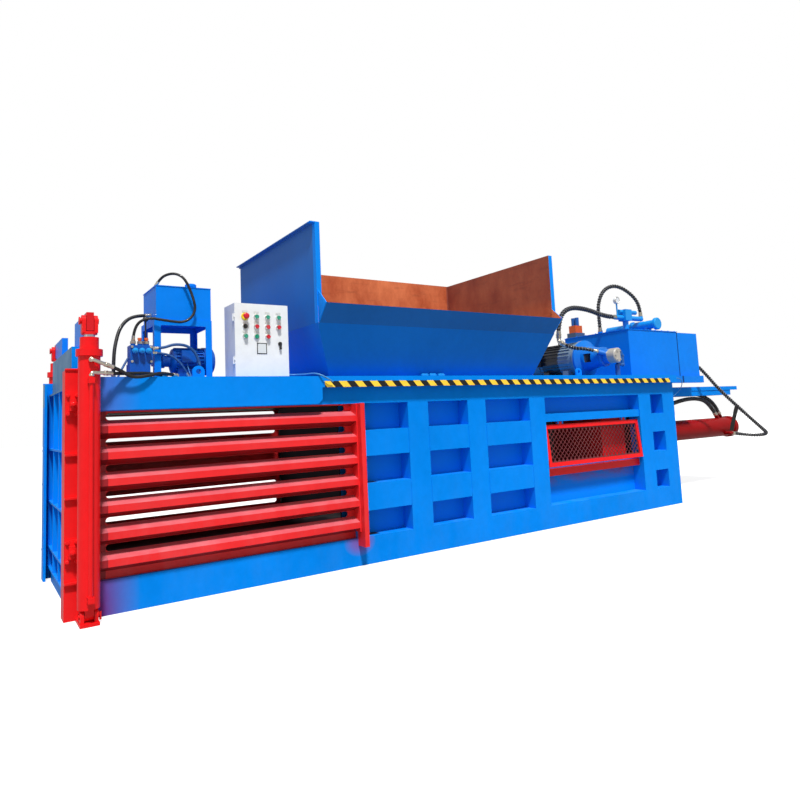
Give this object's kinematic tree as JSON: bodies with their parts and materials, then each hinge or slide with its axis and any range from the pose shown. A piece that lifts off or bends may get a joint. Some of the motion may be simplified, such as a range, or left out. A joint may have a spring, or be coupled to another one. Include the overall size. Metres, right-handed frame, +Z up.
{
  "type": "recycling baler",
  "caption": "Horizontal hydraulic baler with slotted bale chamber, lifting gate, feed hopper, mesh guard, control cabinet and two power units.",
  "frame": {"origin": "middle of the body's base on the floor, under the centre cross beam", "axes": "+X from the bale outlet towards the main cylinder, +Y away from the operator's side, +Z up"},
  "size_m": [9.8739, 2.167, 3.0197],
  "materials": {
    "blue_paint": "gloss enamel",
    "red_paint": "gloss enamel",
    "hopper_paint": "satin enamel outside, primer inside",
    "white_paint": "powder coat",
    "motor_paint": "satin enamel",
    "pump_iron": "as cast",
    "polished_rod": "polished",
    "tape": "matt film",
    "hose_rubber": "matt",
    "cable_sheath": "matt",
    "green_button": "gloss",
    "red_button": "gloss",
    "black_plastic": "satin",
    "gauge_white": "gloss"
  },
  "bodies": {
    "base": {"side_frame_near": "blue_paint", "side_frame_far": "blue_paint", "chamber_liners": "blue_paint", "bed_frame": "blue_paint", "top_deck": "blue_paint", "chamber_sides": "blue_paint", "column_far": "blue_paint", "gate_guides": "blue_paint", "lift_feet": "blue_paint", "lift_pipes": "blue_paint", "gate_tank": "blue_paint", "gate_stand": "blue_paint", "gate_valve": "blue_paint", "main_tank": "blue_paint", "bell_housing": "blue_paint", "return_filter": "blue_paint", "valve_manifold": "blue_paint", "solenoid_valve": "blue_paint", "rear_platform": "blue_paint", "gate_motor": "blue_paint", "column_near": "red_paint", "lift_barrels": "red_paint", "foot_pins": "red_paint", "main_cylinder": "red_paint", "guard_rest": "red_paint", "hopper_funnel": "hopper_paint", "hopper_walls": "hopper_paint", "hopper_lip": "hopper_paint", "cabinet_body": "white_paint", "main_motor": "motor_paint", "main_pump": "pump_iron", "hazard_tape": "tape", "gate_hoses": "hose_rubber", "main_hoses": "hose_rubber", "rear_hoses": "hose_rubber", "cables": "cable_sheath", "pressure_gauge": "gauge_white"},
    "gate": {"gate_panel": "blue_paint", "lift_lugs": "blue_paint", "lift_rods": "polished_rod", "rod_forks": "red_paint", "fork_pins": "red_paint"},
    "ram": {"press_ram": "red_paint", "main_rod": "polished_rod"},
    "guard": {"guard_frame": "red_paint", "guard_mesh": "red_paint"},
    "lever": {"valve_lever": "black_plastic"},
    "door": {"cabinet_door": "white_paint"},
    "lock_handle": {"cabinet_lock": "black_plastic"},
    "emergency_stop_body": {"emergency_stop": "red_button"},
    "start_button_1_body": {"start_button_1": "green_button"},
    "start_button_2_body": {"start_button_2": "green_button"},
    "start_button_3_body": {"start_button_3": "green_button"},
    "mode_selector_body": {"mode_selector": "black_plastic"},
    "stop_button_1_body": {"stop_button_1": "red_button"},
    "stop_button_2_body": {"stop_button_2": "red_button"},
    "stop_button_3_body": {"stop_button_3": "red_button"},
    "reset_button_body": {"reset_button": "green_button"},
    "pump_selector_body": {"pump_selector": "green_button"},
    "halt_button_body": {"halt_button": "red_button"}
  },
  "joints": [
    {"name": "gate_lift", "type": "slide", "parent": "base", "child": "gate", "axis": [0, 0, 1], "range_m": [0, 1.3]},
    {"name": "ram_stroke", "type": "slide", "parent": "base", "child": "ram", "axis": [-1, 0, 0], "range_m": [0, 2.45]},
    {"name": "guard_hinge", "type": "hinge", "parent": "base", "child": "guard", "pos_m": [1.9695, -0.773, 1.12], "axis": [-1, 0, 0], "range_deg": [0, 85]},
    {"name": "lever_pivot", "type": "hinge", "parent": "base", "child": "lever", "pos_m": [-2.96, -0.625, 1.922], "axis": [1, 0, 0], "range_deg": [-15, 15], "stiffness_Nm_per_rad": 4},
    {"name": "door_hinge", "type": "hinge", "parent": "base", "child": "door", "pos_m": [-2.31, -0.749, 1.946], "axis": [0, 0, -1], "range_deg": [0, 110]},
    {"name": "lock_turn", "type": "hinge", "parent": "door", "child": "lock_handle", "pos_m": [-1.914, -0.763, 1.922], "axis": [0, -1, 0], "range_deg": [0, 90]},
    {"name": "emergency_stop_press", "type": "slide", "parent": "door", "child": "emergency_stop_body", "axis": [0, 1, 0], "range_m": [0, 0.005], "stiffness_N_per_m": 900},
    {"name": "start_button_1_press", "type": "slide", "parent": "door", "child": "start_button_1_body", "axis": [0, 1, 0], "range_m": [0, 0.005], "stiffness_N_per_m": 500},
    {"name": "start_button_2_press", "type": "slide", "parent": "door", "child": "start_button_2_body", "axis": [0, 1, 0], "range_m": [0, 0.005], "stiffness_N_per_m": 500},
    {"name": "start_button_3_press", "type": "slide", "parent": "door", "child": "start_button_3_body", "axis": [0, 1, 0], "range_m": [0, 0.005], "stiffness_N_per_m": 500},
    {"name": "mode_selector_turn", "type": "hinge", "parent": "door", "child": "mode_selector_body", "pos_m": [-2.215, -0.763, 2.06], "axis": [0, 1, 0], "range_deg": [-45, 45]},
    {"name": "stop_button_1_press", "type": "slide", "parent": "door", "child": "stop_button_1_body", "axis": [0, 1, 0], "range_m": [0, 0.005], "stiffness_N_per_m": 500},
    {"name": "stop_button_2_press", "type": "slide", "parent": "door", "child": "stop_button_2_body", "axis": [0, 1, 0], "range_m": [0, 0.005], "stiffness_N_per_m": 500},
    {"name": "stop_button_3_press", "type": "slide", "parent": "door", "child": "stop_button_3_body", "axis": [0, 1, 0], "range_m": [0, 0.005], "stiffness_N_per_m": 500},
    {"name": "reset_button_press", "type": "slide", "parent": "door", "child": "reset_button_body", "axis": [0, 1, 0], "range_m": [0, 0.005], "stiffness_N_per_m": 500},
    {"name": "pump_selector_turn", "type": "hinge", "parent": "door", "child": "pump_selector_body", "pos_m": [-2.118, -0.763, 1.978], "axis": [0, 1, 0], "range_deg": [-45, 45]},
    {"name": "halt_button_press", "type": "slide", "parent": "door", "child": "halt_button_body", "axis": [0, 1, 0], "range_m": [0, 0.005], "stiffness_N_per_m": 500}
  ]
}
